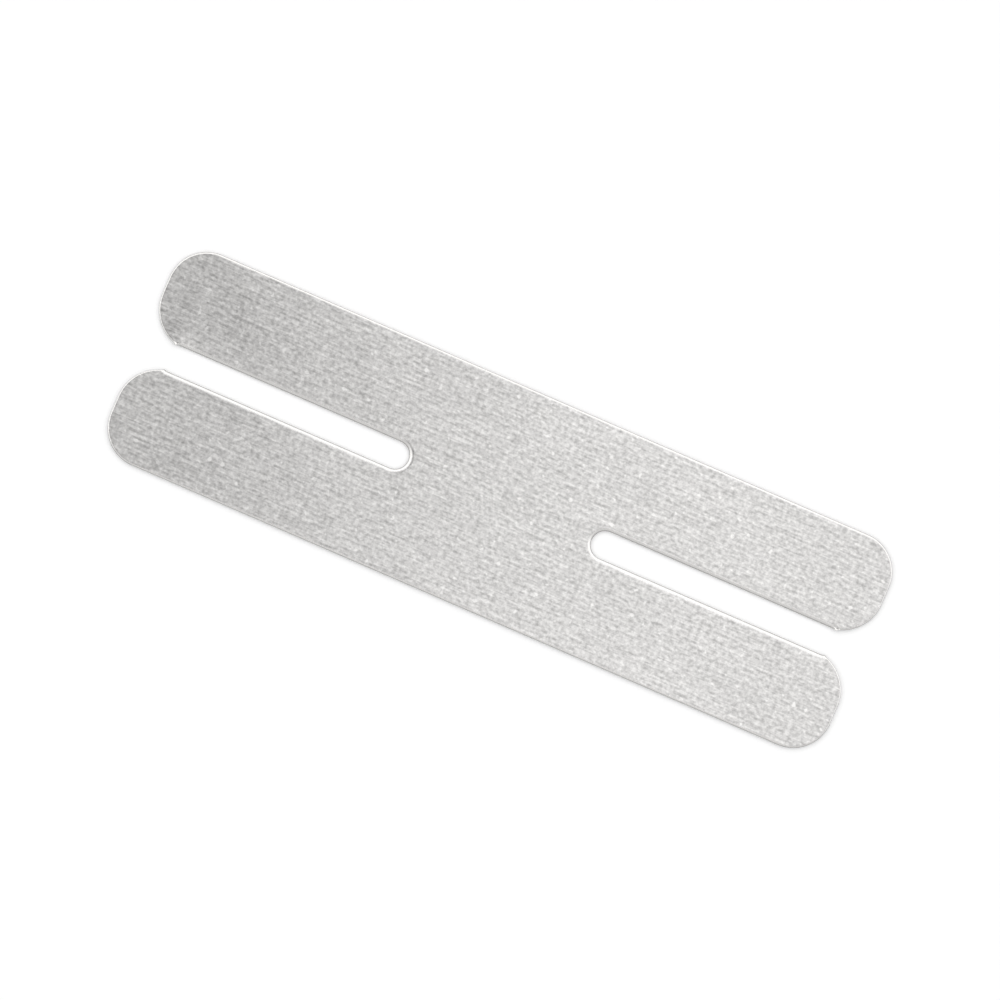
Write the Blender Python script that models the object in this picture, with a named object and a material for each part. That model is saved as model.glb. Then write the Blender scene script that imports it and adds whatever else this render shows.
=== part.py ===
"""Slotted nickel strip: a thin blank that joins two round battery cells by spot welding.

A slot runs in from each end, so the blank has four prongs and a solid web between the slots. A slot
makes the welding current pass through the cell's terminal instead of straight along the strip. X
runs along the strip, Y across it and Z up through its thickness. The strip lies flat on Z = 0 and
the origin is at the middle of its underside.
"""

import math

import bmesh
import bpy

MM = 0.001

# Overall size. The width is that of the coil that the blank is cut from.
STRIP_LENGTH = 27.4 * MM
STRIP_WIDTH = 8.0 * MM
STRIP_THICKNESS = 0.15 * MM

# The slots are punched first. Each is open at its end of the strip and round at its root.
WEB_LENGTH = 7.0 * MM
SLOT_WIDTH = 1.0 * MM

# A second punch parts the blank from the coil and rounds both corners of every prong. The inner
# rounding reaches a little into the slot, so it meets the slot's side at a blunt point.
TIP_OUTER_RADIUS = 1.4 * MM
TIP_INNER_RADIUS = 1.5 * MM
PUNCH_OVERRUN = 0.05 * MM

# The punches draw the upper rim of every cut edge down into an elliptical rounding.
RIM_ROLL_WIDTH = 0.12 * MM
RIM_ROLL_DEPTH = 0.05 * MM

# Straight facets in each quarter circle, and in the rim's rounding.
CORNER_STEPS = 10
ROOT_STEPS = 8
RIM_STEPS = 4

NICKEL_COLOUR = (0.62, 0.605, 0.585, 1.0)
NICKEL_ROUGHNESS = 0.38
NICKEL_METALLIC = 1.0


def arc(centre, radius, start_deg, end_deg, steps):
    """Points on a circle from one angle to another, both ends included."""
    points = []
    for step in range(steps + 1):
        angle = math.radians(start_deg + (end_deg - start_deg) * step / steps)
        points.append((centre[0] + radius * math.cos(angle), centre[1] + radius * math.sin(angle)))
    return points


def quarter_outline():
    """The outline where X and Y are positive: slot root, slot side, inner corner, outer corner."""
    end = STRIP_LENGTH / 2
    slot_side = SLOT_WIDTH / 2
    root_centre = (WEB_LENGTH / 2 + slot_side, 0.0)
    inner_centre = (end - TIP_INNER_RADIUS, slot_side - PUNCH_OVERRUN + TIP_INNER_RADIUS)
    outer_centre = (end - TIP_OUTER_RADIUS, STRIP_WIDTH / 2 - TIP_OUTER_RADIUS)
    blunt_angle = math.degrees(math.acos(1 - PUNCH_OVERRUN / TIP_INNER_RADIUS))
    root = arc(root_centre, slot_side, 180, 90, ROOT_STEPS)
    inner_corner = arc(inner_centre, TIP_INNER_RADIUS, blunt_angle - 90, 0, CORNER_STEPS)
    outer_corner = arc(outer_centre, TIP_OUTER_RADIUS, 0, 90, CORNER_STEPS)
    return root + inner_corner + outer_corner


def strip_outline():
    """The whole outline, counter-clockwise from above: one quarter mirrored across both axes."""
    quarter = quarter_outline()
    mirrored = [(x, -y) for x, y in reversed(quarter)]
    # Both quarters hold the point at the slot's root, so one of the two is left out.
    right_half = mirrored[:-1] + quarter
    left_half = [(-x, -y) for x, y in right_half]
    return right_half + left_half


def inset(outline, distance):
    """The outline moved inward by a distance, with its corners kept sharp."""
    moved = []
    for index, (x, y) in enumerate(outline):
        before_x, before_y = outline[index - 1]
        after_x, after_y = outline[(index + 1) % len(outline)]
        inward_before = inward_normal(x - before_x, y - before_y)
        inward_after = inward_normal(after_x - x, after_y - y)
        sum_x = inward_before[0] + inward_after[0]
        sum_y = inward_before[1] + inward_after[1]
        scale = 2 * distance / (sum_x ** 2 + sum_y ** 2)
        moved.append((x + sum_x * scale, y + sum_y * scale))
    return moved


def inward_normal(step_x, step_y):
    """Unit vector to the left of a step along the counter-clockwise outline."""
    length = math.hypot(step_x, step_y)
    return (-step_y / length, step_x / length)


def rim_levels():
    """Inset and height of each ring of the cut edge, from the underside up to the top face."""
    levels = [(0.0, 0.0)]
    for step in range(RIM_STEPS + 1):
        angle = math.pi / 2 * step / RIM_STEPS
        distance = RIM_ROLL_WIDTH * (1 - math.cos(angle))
        height = STRIP_THICKNESS - RIM_ROLL_DEPTH * (1 - math.sin(angle))
        levels.append((distance, height))
    return levels


def nickel_material():
    material = bpy.data.materials.new("nickel")
    material.use_nodes = True
    shader = material.node_tree.nodes["Principled BSDF"]
    shader.inputs["Base Color"].default_value = NICKEL_COLOUR
    shader.inputs["Roughness"].default_value = NICKEL_ROUGHNESS
    shader.inputs["Metallic"].default_value = NICKEL_METALLIC
    return material


def build_nickel_strip():
    """Stacks the rings of the cut edge and closes them with the underside and the top face."""
    outline = strip_outline()
    mesh = bmesh.new()
    rings = []
    for distance, height in rim_levels():
        rings.append([mesh.verts.new((x, y, height)) for x, y in inset(outline, distance)])
    for lower, upper in zip(rings, rings[1:]):
        for index in range(len(outline)):
            follower = (index + 1) % len(outline)
            mesh.faces.new((lower[index], lower[follower], upper[follower], upper[index]))
    mesh.faces.new(reversed(rings[0]))
    mesh.faces.new(rings[-1])
    # The two large faces are concave, so they need their normals before they are divided.
    mesh.normal_update()
    bmesh.ops.triangulate(mesh, faces=mesh.faces)
    data = bpy.data.meshes.new("nickel_strip")
    mesh.to_mesh(data)
    mesh.free()
    data.materials.append(nickel_material())
    strip = bpy.data.objects.new("nickel_strip", data)
    bpy.context.scene.collection.objects.link(strip)


for old_object in list(bpy.data.objects):
    bpy.data.objects.remove(old_object)
build_nickel_strip()
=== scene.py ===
import math

import bmesh
import bpy
import numpy as np
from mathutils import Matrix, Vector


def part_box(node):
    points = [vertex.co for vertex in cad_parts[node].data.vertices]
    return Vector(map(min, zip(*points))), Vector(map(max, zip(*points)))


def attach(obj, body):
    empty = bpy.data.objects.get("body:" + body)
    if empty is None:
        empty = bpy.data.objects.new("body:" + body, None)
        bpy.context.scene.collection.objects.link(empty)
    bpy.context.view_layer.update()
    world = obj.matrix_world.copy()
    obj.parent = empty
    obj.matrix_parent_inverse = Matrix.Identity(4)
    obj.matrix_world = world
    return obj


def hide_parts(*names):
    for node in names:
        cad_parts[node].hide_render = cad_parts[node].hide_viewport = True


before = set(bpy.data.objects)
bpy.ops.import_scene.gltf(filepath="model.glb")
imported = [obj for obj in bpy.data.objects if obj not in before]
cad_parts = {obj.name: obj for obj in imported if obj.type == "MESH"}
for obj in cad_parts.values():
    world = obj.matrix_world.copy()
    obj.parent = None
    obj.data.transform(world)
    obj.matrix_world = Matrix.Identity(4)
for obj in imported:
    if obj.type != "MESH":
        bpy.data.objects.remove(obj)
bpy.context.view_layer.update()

# The slotted blank: one piece of thin nickel strip, cold rolled and annealed to a soft satin grey.
# One punch pierces the two slots in the coil. A second one parts the blank and rounds its tips, and
# reaches a little into each slot, so the two cuts meet at a blunt point with a trace of burr.
MM = 0.001
highest_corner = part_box("nickel_strip")[1]
half_length, half_width, thickness = highest_corner
half_web = 3.5 * MM
slot_radius = 0.5 * MM
outer_tip_radius = 1.4 * MM
inner_tip_radius = 1.5 * MM
punch_overrun = 0.05 * MM

root_centre_x = half_web + slot_radius
inner_centre = (half_length - inner_tip_radius, slot_radius - punch_overrun + inner_tip_radius)
outer_centre = (half_length - outer_tip_radius, half_width - outer_tip_radius)

# A quarter of the outline runs from a slot's root round one prong to the middle of the long edge.
# These are the pieces of its stretches, and the numbers of the points where some of them end.
ROOT_PIECES = 24
SLOT_SIDE_PIECES = 84
CORNER_PIECES = 28
TIP_PIECES = 20
HALF_WEB_PIECES = 28
BLUNT_POINT = ROOT_PIECES + SLOT_SIDE_PIECES
TIP_START = BLUNT_POINT + CORNER_PIECES
TIP_END = TIP_START + TIP_PIECES
CORNER_END = TIP_END + CORNER_PIECES
QUARTER_PIECES = CORNER_END + SLOT_SIDE_PIECES + ROOT_PIECES + HALF_WEB_PIECES

# The points close up towards the blunt point, along the slot's side and across the prong.
CROWDING = 1.5


def shares(pieces):
    """Evenly spaced shares from 0 to 1 of a stretch with that many pieces."""
    return np.linspace(0.0, 1.0, pieces + 1)


def crowded(even_shares):
    """Shares that lie closer together near 0: the even ones raised to the power of the crowding."""
    return even_shares**CROWDING


towards_point = 1 - crowded(1 - shares(SLOT_SIDE_PIECES))
across_prong = crowded(shares(TIP_PIECES))


def arc(centre, radius, start, end, pieces):
    """Points on a circle from one angle to another: the centre plus the radius times cosine and sine."""
    turn = np.radians(start + (end - start) * shares(pieces))
    return np.stack([centre[0] + radius * np.cos(turn), centre[1] + radius * np.sin(turn)])


def straight(start, end, along):
    """Points on a straight line, at the given shares of the way from its start to its end."""
    start = np.array(start)[:, None]
    end = np.array(end)[:, None]
    return start + (end - start) * along


def quarter_outline(inset):
    """Points of a quarter of the outline, moved in by an inset.

    Moving it in makes the root's circle larger and the corners' circles smaller by the inset, and moves
    the straight stretches by it. The inner corner meets the slot's side at a blunt point, at the angle
    whose cosine is 1 - overrun / radius, and the points along the slot's side close up towards it.
    """
    inner_radius = inner_tip_radius - inset
    outer_radius = outer_tip_radius - inset
    meeting = math.acos(1 - punch_overrun / inner_radius)
    meeting_x = inner_centre[0] + inner_radius * math.sin(meeting)
    slot_y = slot_radius + inset
    edge_y = half_width - inset
    tip_x = half_length - inset

    root = arc((root_centre_x, 0.0), slot_radius + inset, 180, 90, ROOT_PIECES)
    slot_side = straight((root_centre_x, slot_y), (meeting_x, slot_y), towards_point)
    inner_corner = arc(inner_centre, inner_radius, math.degrees(meeting) - 90, 0, CORNER_PIECES)
    tip = straight((tip_x, inner_centre[1]), (tip_x, outer_centre[1]), across_prong)
    outer_corner = arc(outer_centre, outer_radius, 0, 90, CORNER_PIECES)
    beside_slot = straight((root_centre_x, edge_y), (outer_centre[0], edge_y), towards_point)[:, ::-1]
    beside_root = arc((root_centre_x, 0.0), slot_radius, 90, 180, ROOT_PIECES)
    beside_root[1] = edge_y
    beside_web = straight((half_web, edge_y), (0.0, edge_y), shares(HALF_WEB_PIECES))

    stretches = [root, slot_side, inner_corner, tip, outer_corner, beside_slot, beside_root, beside_web]
    return np.concatenate([root[:, :1]] + [stretch[:, 1:] for stretch in stretches], axis=1)


def all_round(quarter):
    """A quarter's values carried round all four, forwards and backwards in turn."""
    back = quarter[..., ::-1]
    return np.concatenate([quarter, back[..., 1:], quarter[..., 1:], back[..., 1:]], axis=-1)


def mirrored_round(quarter):
    """A quarter's points mirrored across both middle lines, counter-clockwise. The first is repeated."""
    sign_x = all_round(np.ones_like(quarter[0]))
    sign_y = sign_x.copy()
    sign_x[QUARTER_PIECES + 1 : 3 * QUARTER_PIECES] = -1
    sign_y[2 * QUARTER_PIECES + 1 :] = -1
    return all_round(quarter) * np.stack([sign_x, sign_y])


def distance_along(line):
    """Distance of each point from the line's start: the lengths of the steps up to it, added together."""
    steps = np.hypot(*np.diff(line, axis=1))
    return np.concatenate([[0.0], np.cumsum(steps)])


# The rim's rolling is at its fullest along the slots, less on the coil's slit edges and least at the
# tips. It changes from the slot's to the tip's within a short stretch past the blunt point.
roll_width = 0.18 * MM
roll_depth = 0.06 * MM
roll_change = 0.10 * MM
LONG_EDGE_ROLL = 0.62
TIP_ROLL = 0.36

quarter_start = quarter_outline(0.0)
quarter_inward = (quarter_outline(roll_width) - quarter_start) / roll_width
quarter_length = distance_along(quarter_start)
blunt_at = quarter_length[BLUNT_POINT]
roll_places = [blunt_at, blunt_at + roll_change, quarter_length[TIP_END], quarter_length[CORNER_END]]
roll_share = all_round(np.interp(quarter_length, roll_places, [1.0, TIP_ROLL, TIP_ROLL, LONG_EDGE_ROLL]))

# The two cuts leave a tiny spur where they meet, and it stands out into the slot's mouth. On the prongs
# of the +Y side the rim is turned up there too, almost to the height of the face.
spur_reach = 0.035 * MM
spur_spread = 0.05 * MM
lip_spread = 0.08 * MM


def near_blunt_point(spread):
    """1 at the blunt point and less beyond it: e to the power of minus the squared distance in spreads."""
    return np.exp(-(((quarter_length - blunt_at) / spread) ** 2))


spur = spur_reach * near_blunt_point(spur_spread)
lip = all_round(near_blunt_point(lip_spread))
lip[2 * QUARTER_PIECES :] = 0.0

# The same two prongs curl up a little round their blunt points. Their ends have sunk by less than a
# hair's breadth, and rise again to the full height at the point.
blunt_x, blunt_y = quarter_start[:, BLUNT_POINT]
curl_depth = 0.020 * MM
curl_radius = 0.80 * MM
curl_reach = 9.0 * MM


def eased(share):
    """Goes from 0 to 1 as the share does, level at both ends: three times its square less twice its cube."""
    share = np.clip(share, 0.0, 1.0)
    return share**2 * (3 - 2 * share)


def sunk(x, y):
    """How far the upper face has sunk, by the distance from the nearest blunt point with a curl.

    It grows from nothing to the curl's depth over the curl's radius, and has died away at its reach.
    """
    distance = np.hypot(np.abs(x) - blunt_x, y - blunt_y)
    dying_away = eased((distance - curl_radius) / (curl_reach - curl_radius))
    return curl_depth * eased(distance / curl_radius) * (1 - dying_away) * (y > 0)


outline = mirrored_round(quarter_start - spur * quarter_inward)
inward = mirrored_round(quarter_inward)
along_outline = distance_along(outline)


def ragged(grain, seed):
    """Random values from 0 to 1 along the closed outline: one to each grain, and straight lines between."""
    whole_length = along_outline[-1]
    count = round(whole_length / grain)
    places = np.arange(count) * whole_length / count
    values = np.random.default_rng(seed).uniform(0, 1, count)
    return np.interp(along_outline, places, values, period=whole_length)


# The cut edge from the underside up: the burr, the wall above it, the grey break, which is torn and set
# back a little, a ledge, the bright burnished band and the rolled rim. The insets come first.
underside_inset = 0.050 * MM
burr_foot_inset = 0.016 * MM
burr_inset = 0.006 * MM
break_recess = 0.007 * MM
face_margin = 0.020 * MM
burr_height = 0.006 * MM
wall_start = 0.009 * MM
break_start = 0.020 * MM
break_height = 0.055 * MM
ledge_height = 0.012 * MM
burr_grain = 0.09 * MM
torn_grain = 0.05 * MM
ledge_grain = 0.12 * MM

burr = burr_height * (1 - ragged(burr_grain, seed=5))
burr = burr - burr.min()
torn = break_recess * ragged(torn_grain, seed=11)
torn_above = break_recess * ragged(torn_grain, seed=17)
ledge = break_height + ledge_height * ragged(ledge_grain, seed=23)

# Over the roll the points lie closer together at the wall. Round a turned-up point the roll is a lip,
# which starts just under the face's height, with a shallow hollow behind it.
ROLL_PIECES = 9
ROLL_ROUNDNESS = 1.3
LIP_DROP = 0.04
LIP_HOLLOW = 0.45
across_roll = crowded(shares(ROLL_PIECES))


def cut_edge():
    """Insets and heights of the cut edge, each an array of rings by points along the outline.

    The roll goes in by t times its width and has dropped by 1 - (1 - (1 - t)^2)^(1 / roundness) times its
    depth there, which is steep at the wall and runs out flat on the face. A lip has dropped by its own
    drop, and by its hollow times the squared sine of t half turns.
    """
    t = across_roll[:, None]
    drop = 1 - (1 - (1 - t) ** 2) ** (1 / ROLL_ROUNDNESS)
    lipped_drop = LIP_HOLLOW * np.sin(np.pi * t) ** 2 + LIP_DROP
    drop = drop + (lipped_drop - drop) * lip
    insets_and_heights = [
        (underside_inset, burr_height),
        (burr_foot_inset, burr_height),
        (burr_inset, burr),
        (0.0, wall_start),
        (break_recess + torn, break_start),
        (break_recess + torn_above, ledge - ledge_height),
        (0.0, ledge),
        (roll_width * roll_share * t, thickness - roll_depth * roll_share * drop),
        (roll_width * roll_share + face_margin, thickness),
    ]
    level = np.zeros_like(along_outline)
    insets = np.vstack([level + inset for inset, _ in insets_and_heights])
    heights = np.vstack([level + height for _, height in insets_and_heights])
    return insets, heights


def face_quarter(boundary):
    """One quarter of a rolled face: straight lines ruled across it, from the slot's side to the long edge.

    The boundary runs as quarter_outline does. Inside the web the lines start on the strip's middle line.
    """
    slot_side = boundary[:, : TIP_START + 1]
    long_side = boundary[:, TIP_END:][:, ::-1]
    web_middle = straight((0.0, 0.0, boundary[2, 0]), slot_side[:, 0], shares(HALF_WEB_PIECES))
    near = np.concatenate([web_middle[:, :-1], slot_side], axis=1)
    grid = near[:, None, :] + (long_side - near)[:, None, :] * across_prong[:, None]
    grid[:, :, -1] = boundary[:, TIP_START : TIP_END + 1]
    return grid


def quad_corners(rows, columns):
    """Numbers of the four corners of each quad in a grid whose points are numbered row by row."""
    numbers = np.arange(rows * columns).reshape(rows, columns)
    corners = [numbers[:-1, :-1], numbers[:-1, 1:], numbers[1:, 1:], numbers[1:, :-1]]
    return np.stack(corners, axis=-1).reshape(-1, 4)


class Shell:
    """Collects grids of points, their layout in millimetres and their finish, to be welded afterwards."""

    def __init__(self):
        self.points = []
        self.faces = []
        self.layout = []
        self.finish = []
        self.polish = []
        self.count = 0

    def add(self, grid, layout, shift, finish, polish=0.0, flipped=False):
        """Adds a grid of X, Y and Z by rows by columns. A flipped one has its faces turned over."""
        rows, columns = grid.shape[1:]
        corners = quad_corners(rows, columns)
        if flipped:
            corners = corners[:, ::-1]
        self.points.append(grid.reshape(3, -1).T)
        self.layout.append((layout.reshape(2, -1).T + shift)[corners].reshape(-1, 2))
        self.faces.append(corners + self.count)
        self.finish.append(np.full(len(corners), finish))
        self.polish.append((polish + 0 * grid[0]).ravel())
        self.count += rows * columns


# The two finishes are numbered as their materials are. The layout is the strip's own X and Y, and the
# wall's length and height. Its shifts keep the underside and the wall from repeating the upper grain.
ROLLED = 0
SHEARED = 1
UPPER_SHIFT = (0.0, 0.0)
UNDERSIDE_SHIFT = (60.0, 40.0)
WALL_SHIFT = (0.0, 90.0)

# The punches polished the roll: fully up to the first share of the way in, and no more past the second.
POLISH_FADES = (0.45, 0.85)

shell = Shell()
insets, heights = cut_edge()
rings = np.concatenate([outline[:, None, :] + insets * inward[:, None, :], heights[None]])
roll_start = len(insets) - ROLL_PIECES - 2
rings[2, roll_start:] -= sunk(rings[0, roll_start:], rings[1, roll_start:])
wall = rings[:, : roll_start + 1]
shell.add(wall, np.stack([along_outline + 0 * wall[2], wall[2]]) / MM, WALL_SHIFT, SHEARED)
roll = rings[:, roll_start:]
roll_polish = np.interp(np.append(across_roll, 1.0), POLISH_FADES, [1.0, 0.0])
shell.add(roll, roll[:2] / MM, UPPER_SHIFT, ROLLED, polish=roll_polish[:, None])
two_faces = [(rings[:, -1], UPPER_SHIFT, False), (rings[:, 0], UNDERSIDE_SHIFT, True)]
for ring, shift, underside in two_faces:
    for quarter in range(4):
        boundary = ring[:, quarter * QUARTER_PIECES : (quarter + 1) * QUARTER_PIECES + 1]
        backwards = quarter % 2 == 1
        if backwards:
            boundary = boundary[:, ::-1]
        grid = face_quarter(boundary)
        if not underside:
            grid[2] = thickness - sunk(grid[0], grid[1])
        shell.add(grid, grid[:2] / MM, shift, ROLLED, flipped=backwards != underside)

weld_distance = 0.0005 * MM
crease_angle = math.radians(50)

blank_data = bpy.data.meshes.new("slotted_blank")
blank_data.from_pydata(np.concatenate(shell.points).tolist(), [], np.concatenate(shell.faces).tolist())
blank_data.polygons.foreach_set("material_index", np.concatenate(shell.finish))
mill_layout = blank_data.uv_layers.new(name="mill_layout")
mill_layout.data.foreach_set("uv", np.concatenate(shell.layout).astype(np.float32).ravel())
rim_polish = blank_data.attributes.new("rim_polish", "FLOAT", "POINT")
rim_polish.data.foreach_set("value", np.concatenate(shell.polish).astype(np.float32))

welded = bmesh.new()
welded.from_mesh(blank_data)
bmesh.ops.remove_doubles(welded, verts=welded.verts, dist=weld_distance)
welded.to_mesh(blank_data)
welded.free()
blank_data.shade_smooth()
blank_data.set_sharp_from_angle(angle=crease_angle)
slotted_blank = bpy.data.objects.new("slotted_blank", blank_data)
bpy.context.scene.collection.objects.link(slotted_blank)


def new_material(name):
    """A new material, with its node tree and its main shader."""
    material = bpy.data.materials.new(name)
    material.use_nodes = True
    tree = material.node_tree
    return material, tree, tree.nodes["Principled BSDF"]


def shader_node(tree, kind, **settings):
    """Adds a node to a material and sets its properties by name."""
    made = tree.nodes.new(kind)
    for name, value in settings.items():
        setattr(made, name, value)
    return made


def feed(tree, value, socket):
    """Links another node's output to a socket, or sets the socket to a plain number or colour."""
    if isinstance(value, bpy.types.NodeSocket):
        tree.links.new(value, socket)
    else:
        socket.default_value = value


def arithmetic(tree, operation, *numbers):
    """The result of a Math node on plain numbers or other nodes' outputs."""
    step = shader_node(tree, "ShaderNodeMath", operation=operation)
    for number, socket in zip(numbers, step.inputs):
        feed(tree, number, socket)
    return step.outputs[0]


def ramp(tree, measure, over, values=(0.0, 1.0)):
    """Goes evenly from one value to another as a measure goes over a stretch, and stays level beyond it."""
    change = shader_node(tree, "ShaderNodeMapRange")
    for name, number in zip(("From Min", "From Max", "To Min", "To Max"), (*over, *values)):
        change.inputs[name].default_value = number
    tree.links.new(measure, change.inputs["Value"])
    return change.outputs["Result"]


# A Mix node has a pair of inputs and an output for each kind of value: here the numbers' and the colours'.
MIX_SOCKETS = {"FLOAT": (2, 3, 0), "RGBA": (6, 7, 2)}


def mixed(tree, kind, share, first, second):
    """The first number or colour where the share is 0, the second where it is 1, and a mixture between."""
    mix = shader_node(tree, "ShaderNodeMix", data_type=kind)
    first_socket, second_socket, result = MIX_SOCKETS[kind]
    feed(tree, share, mix.inputs[0])
    feed(tree, first, mix.inputs[first_socket])
    feed(tree, second, mix.inputs[second_socket])
    return mix.outputs[result]


def blended(tree, layers, start=0.0):
    """The start plus each layer times its weight, where a layer counts from its middle value of 0.5."""
    total = start - sum(weight for _, weight in layers) / 2
    for layer, weight in layers:
        total = arithmetic(tree, "MULTIPLY_ADD", layer, weight, total)
    return total


def parts_of(tree, place):
    """The parts of a place or a direction along X, Y and Z."""
    split = shader_node(tree, "ShaderNodeSeparateXYZ")
    tree.links.new(place, split.inputs["Vector"])
    return split.outputs


def mill_noise(tree, per_mm, detail, roughness=0.5):
    """Noise on the millimetre layout, with so many grains to a millimetre along the strip and across it."""
    layout = shader_node(tree, "ShaderNodeUVMap", uv_map="mill_layout")
    stretch = shader_node(tree, "ShaderNodeMapping")
    stretch.inputs["Scale"].default_value = (*per_mm, 1.0)
    noise = shader_node(tree, "ShaderNodeTexNoise", noise_dimensions="2D")
    noise.inputs["Scale"].default_value = 1.0
    noise.inputs["Detail"].default_value = detail
    noise.inputs["Roughness"].default_value = roughness
    tree.links.new(layout.outputs["UV"], stretch.inputs["Vector"])
    tree.links.new(stretch.outputs["Vector"], noise.inputs["Vector"])
    return noise.outputs["Fac"]


def add_relief(tree, shader, height, depth, strength=1.0):
    """Makes the light see hills and hollows of a depth in metres, finer than the mesh holds."""
    bump = shader_node(tree, "ShaderNodeBump")
    bump.inputs["Distance"].default_value = depth
    feed(tree, strength, bump.inputs["Strength"])
    tree.links.new(height, bump.inputs["Height"])
    tree.links.new(bump.outputs["Normal"], shader.inputs["Normal"])


# The rolled faces: the darkest and the lightest grain, and the smoother rim that the punches polished.
DARK_GRAIN = (0.40, 0.394, 0.388, 1.0)
LIGHT_GRAIN = (0.88, 0.868, 0.855, 1.0)
MIDDLE_TONE = 0.75
POLISHED_RIM = (0.78, 0.768, 0.753, 1.0)
ROLLED_ROUGHNESS = 0.34
POLISHED_ROUGHNESS = 0.20
rolled_relief = 0.003 * MM


def rolled_nickel():
    """Satin mill finish: fine annealed grain, short dashes and long rolling lines along the strip."""
    material, tree, nickel = new_material("rolled_nickel")
    nickel.inputs["Metallic"].default_value = 1.0
    nickel.inputs["Anisotropic"].default_value = 0.45
    nickel.inputs["Anisotropic Rotation"].default_value = 0.25
    along_strip = shader_node(tree, "ShaderNodeTangent", direction_type="UV_MAP", uv_map="mill_layout")
    tree.links.new(along_strip.outputs["Tangent"], nickel.inputs["Tangent"])

    grain = mill_noise(tree, per_mm=(6.4, 7.6), detail=3.0, roughness=0.6)
    dashes = mill_noise(tree, per_mm=(1.6, 12.0), detail=1.0)
    lines = mill_noise(tree, per_mm=(0.25, 10.0), detail=2.0)
    hollows = mill_noise(tree, per_mm=(5.0, 6.0), detail=1.0, roughness=0.4)
    clouds = mill_noise(tree, per_mm=(0.20, 0.35), detail=1.0)
    specks = ramp(tree, mill_noise(tree, per_mm=(4.2, 4.6), detail=0.0), over=(0.80, 0.90))

    # The grain, its dullness and its relief fade out on the polished rim.
    on_rim = shader_node(tree, "ShaderNodeAttribute", attribute_name="rim_polish").outputs["Fac"]
    shades = [(grain, 1.4), (dashes, 0.7), (lines, 0.4), (clouds, 0.08), (specks, 0.5)]
    tone = blended(tree, shades, start=MIDDLE_TONE)
    grained = mixed(tree, "RGBA", tone, DARK_GRAIN, LIGHT_GRAIN)
    feed(tree, mixed(tree, "RGBA", on_rim, grained, POLISHED_RIM), nickel.inputs["Base Color"])

    dullness = blended(tree, [(clouds, 0.10), (dashes, 0.08)], start=ROLLED_ROUGHNESS)
    feed(tree, mixed(tree, "FLOAT", on_rim, dullness, POLISHED_ROUGHNESS), nickel.inputs["Roughness"])

    relief = blended(tree, [(hollows, 0.8), (dashes, 0.4), (lines, 0.8), (clouds, 4.5)])
    relief_left = arithmetic(tree, "SUBTRACT", 1.0, on_rim)
    add_relief(tree, nickel, relief, depth=rolled_relief, strength=relief_left)
    return material


# The cut edge: the colours of the break and of the burnished band, and the heights where the one
# gives way to the other.
BROKEN_GREY = (0.40, 0.39, 0.38, 1.0)
BURNISHED_GREY = (0.70, 0.685, 0.668, 1.0)
BROKEN_ROUGHNESS = 0.55
BURNISHED_ROUGHNESS = 0.24
burnish_heights = (break_height - 0.002 * MM, break_height + 0.010 * MM)
score_depth = 0.004 * MM


def sheared_nickel():
    """Cut edge: bright and finely scored where the punch burnished it, dull and grainy where it broke."""
    material, tree, nickel = new_material("sheared_nickel")
    nickel.inputs["Metallic"].default_value = 1.0
    place = shader_node(tree, "ShaderNodeTexCoord").outputs["Object"]
    burnished = ramp(tree, parts_of(tree, place)["Z"], over=burnish_heights)
    feed(tree, mixed(tree, "RGBA", burnished, BROKEN_GREY, BURNISHED_GREY), nickel.inputs["Base Color"])
    dullness = mixed(tree, "FLOAT", burnished, BROKEN_ROUGHNESS, BURNISHED_ROUGHNESS)
    feed(tree, dullness, nickel.inputs["Roughness"])
    scores = mill_noise(tree, per_mm=(28.0, 2.0), detail=2.0, roughness=0.6)
    add_relief(tree, nickel, scores, depth=score_depth)
    return material


blank_data.materials.append(rolled_nickel())
blank_data.materials.append(sheared_nickel())
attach(slotted_blank, "root")
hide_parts("nickel_strip")

# The table it lies on: a plain white sheet, shown as white wherever no shadow falls on it.
# The metal sees the same white in its reflections, and the strip's soft shadow stays on the sheet.
half_table = 0.6
table_drop = 0.01 * MM
WHITE = (1.0, 1.0, 1.0, 1.0)
SHEET_COLOUR = (0.86, 0.86, 0.86, 1.0)
SHEET_ROUGHNESS = 0.9
SHORT_OF_WHITE = 0.21

table_corners = [(-1, -1), (1, -1), (1, 1), (-1, 1)]
table_points = [(x * half_table, y * half_table, -table_drop) for x, y in table_corners]
table_data = bpy.data.meshes.new("white_table")
table_data.from_pydata(table_points, [], [(0, 1, 2, 3)])
white_table = bpy.data.objects.new("white_table", table_data)
bpy.context.scene.collection.objects.link(white_table)


def seen_directly_or_reflected(tree):
    """1 for a ray from the camera or one that metal or glass sends on, 0 for a ray that carries light."""
    rays = shader_node(tree, "ShaderNodeLightPath")
    total = rays.outputs["Is Camera Ray"]
    for kind in ("Is Glossy Ray", "Is Transmission Ray"):
        total = arithmetic(tree, "MAXIMUM", total, rays.outputs[kind])
    return total


def white_sheet():
    """Matt white, with the little that it falls short of white added where it is seen."""
    material, tree, paper = new_material("white_sheet")
    paper.inputs["Base Color"].default_value = SHEET_COLOUR
    paper.inputs["Roughness"].default_value = SHEET_ROUGHNESS
    paper.inputs["Specular IOR Level"].default_value = 0.0
    paper.inputs["Emission Color"].default_value = WHITE
    lift = arithmetic(tree, "MULTIPLY", seen_directly_or_reflected(tree), SHORT_OF_WHITE)
    tree.links.new(lift, paper.inputs["Emission Strength"])
    return material


table_data.materials.append(white_sheet())

# The studio's light: a white tent round the table, open towards the bottom of the picture. Overhead it
# is brightest just right of the middle and dim on the strip's left. A brightness of 1 is white, and the
# whole tent adds up to about 0.94.
opening_bearing = math.radians(288)
opening_direction = (math.cos(opening_bearing), math.sin(opening_bearing), 0.0)


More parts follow.
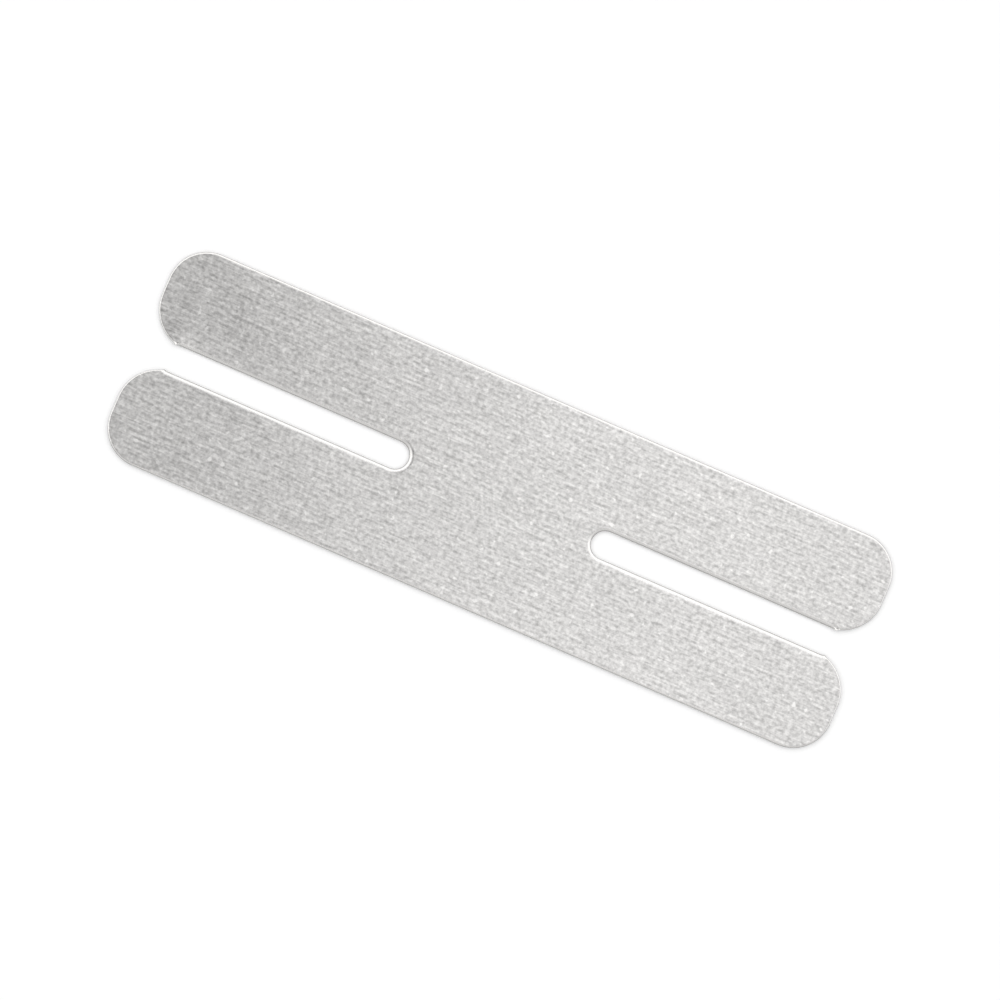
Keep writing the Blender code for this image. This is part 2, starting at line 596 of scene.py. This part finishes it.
def tent_brightness(tree):
    """Brightness of the tent in the direction that is looked in: its walls', or overhead its roof's.

    The roof's is the product of two changes along the strip, and all of it is dimmed near the table.
    Each change is even over a stretch of one measure: how far the direction points to the right along
    the strip, upwards, or towards the opening, from -1 to 1.
    """
    looking = shader_node(tree, "ShaderNodeTexCoord").outputs["Generated"]
    looking_parts = parts_of(tree, looking)
    to_right = looking_parts["X"]
    upwards = looking_parts["Z"]
    to_opening = shader_node(tree, "ShaderNodeVectorMath", operation="DOT_PRODUCT")
    to_opening.inputs[1].default_value = opening_direction
    tree.links.new(looking, to_opening.inputs[0])

    brighter_from_left = ramp(tree, to_right, over=(-0.13, 0.0), values=(0.05, 1.66))
    dimmer_to_right = ramp(tree, to_right, over=(0.08, 0.18), values=(1.0, 0.45))
    roof = arithmetic(tree, "MULTIPLY", brighter_from_left, dimmer_to_right)
    walls = ramp(tree, to_opening.outputs["Value"], over=(0.05, 0.40), values=(1.40, 0.78))
    overhead = ramp(tree, upwards, over=(0.88, 0.96))
    tent = mixed(tree, "FLOAT", overhead, walls, roof)
    near_table = ramp(tree, upwards, over=(0.18, 0.58), values=(0.15, 1.00))
    return arithmetic(tree, "MULTIPLY", tent, near_table)


world = bpy.data.worlds.new("studio")
bpy.context.scene.world = world
world.use_nodes = True
sky_tree = world.node_tree
sky = sky_tree.nodes["Background"]
sky.inputs["Color"].default_value = WHITE
sky_tree.links.new(tent_brightness(sky_tree), sky.inputs["Strength"])

# The camera looks straight down through a long lens, on the middle of the strip, and is turned so that
# the strip runs down to the right as in the photograph.
picture_width = 35.0 * MM
lens_length = 120.0
camera_turn = math.radians(23.4)
camera_data = bpy.data.cameras.new("camera")
camera_data.lens = lens_length
camera_data.clip_start = 0.01
camera_data.clip_end = 10.0
camera = bpy.data.objects.new("camera", camera_data)
camera.location = (0.0, 0.0, picture_width * camera_data.lens / camera_data.sensor_width)
camera.rotation_euler = (0.0, 0.0, camera_turn)
bpy.context.scene.collection.objects.link(camera)
bpy.context.scene.camera = camera
bpy.context.scene.view_settings.view_transform = "Standard"
